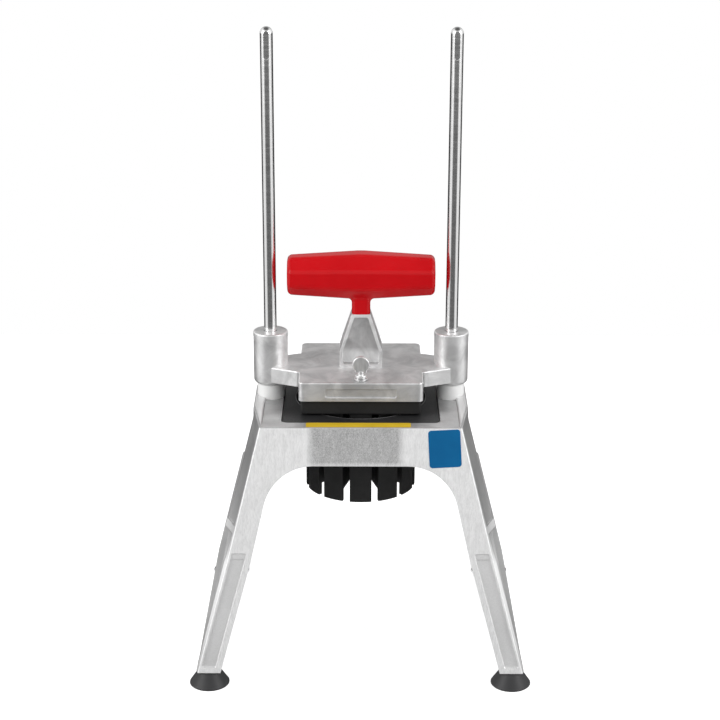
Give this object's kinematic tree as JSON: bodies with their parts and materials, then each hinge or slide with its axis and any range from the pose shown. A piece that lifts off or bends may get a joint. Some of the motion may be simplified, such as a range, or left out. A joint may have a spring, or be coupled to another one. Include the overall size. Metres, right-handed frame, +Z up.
{
  "type": "push-down potato cutter",
  "caption": "Tabletop push-down cutter: T-handled pusher slides on two upright rods and presses food through radial blades set in a four-legged cast stand on suction feet.",
  "frame": {"origin": "on the table, under the middle of the whole cutter, centred between its feet", "axes": "+Z up along the guide rods, +Y to the back, +X to the right seen from the front; the rods lie in the plane Y = 0"},
  "size_m": [0.2602, 0.2276, 0.484],
  "materials": {
    "cast_aluminium": "ground and cast, satin",
    "cast_aluminium_pusher": "tumbled casting, satin",
    "polished_rod": "polished",
    "zinc_steel": "plain steel",
    "thumb_screw_steel": "bright steel",
    "blade_steel": "bright steel",
    "white_plastic": "matt",
    "black_plastic": "satin",
    "black_plastic_block": "satin",
    "red_grip": "glossy",
    "foot_rubber": "satin",
    "yellow_strip": "matt",
    "blue_badge": "satin"
  },
  "bodies": {
    "stand": {"frame_casting": "cast_aluminium", "guide_rod_left": "polished_rod", "guide_rod_right": "polished_rod", "rod_nuts": "zinc_steel", "rod_washers": "zinc_steel", "holder_screws": "zinc_steel", "foot_studs": "zinc_steel", "bumper_left": "white_plastic", "bumper_right": "white_plastic", "blade_holder": "black_plastic", "blade_clamp_ring": "black_plastic", "core_tube": "blade_steel", "front_strip": "yellow_strip", "front_badge": "blue_badge", "wedge_blade_01": "blade_steel", "wedge_blade_02": "blade_steel", "wedge_blade_03": "blade_steel", "wedge_blade_04": "blade_steel", "wedge_blade_05": "blade_steel", "wedge_blade_06": "blade_steel", "wedge_blade_07": "blade_steel", "wedge_blade_08": "blade_steel", "wedge_blade_09": "blade_steel", "wedge_blade_10": "blade_steel", "wedge_blade_11": "blade_steel", "wedge_blade_12": "blade_steel", "suction_foot_front_left": "foot_rubber", "suction_foot_front_right": "foot_rubber", "suction_foot_rear_left": "foot_rubber", "suction_foot_rear_right": "foot_rubber"},
    "pusher": {"pusher_casting": "cast_aluminium_pusher", "rod_bushing_left": "white_plastic", "rod_bushing_right": "white_plastic", "t_grip": "red_grip", "pusher_block": "black_plastic_block", "pusher_fingers": "black_plastic_block", "thumb_screw_washer": "thumb_screw_steel"},
    "thumb_screw": {"thumb_screw": "thumb_screw_steel"}
  },
  "joints": [
    {"name": "pusher_slide", "type": "slide", "parent": "stand", "child": "pusher", "axis": [0, 0, 1], "range_m": [0, 0.215]},
    {"name": "thumb_screw_turn", "type": "hinge", "parent": "pusher", "child": "thumb_screw", "pos_m": [0, -0.041, 0.235], "axis": [0, 0, 1], "range_deg": [0, 360]}
  ]
}
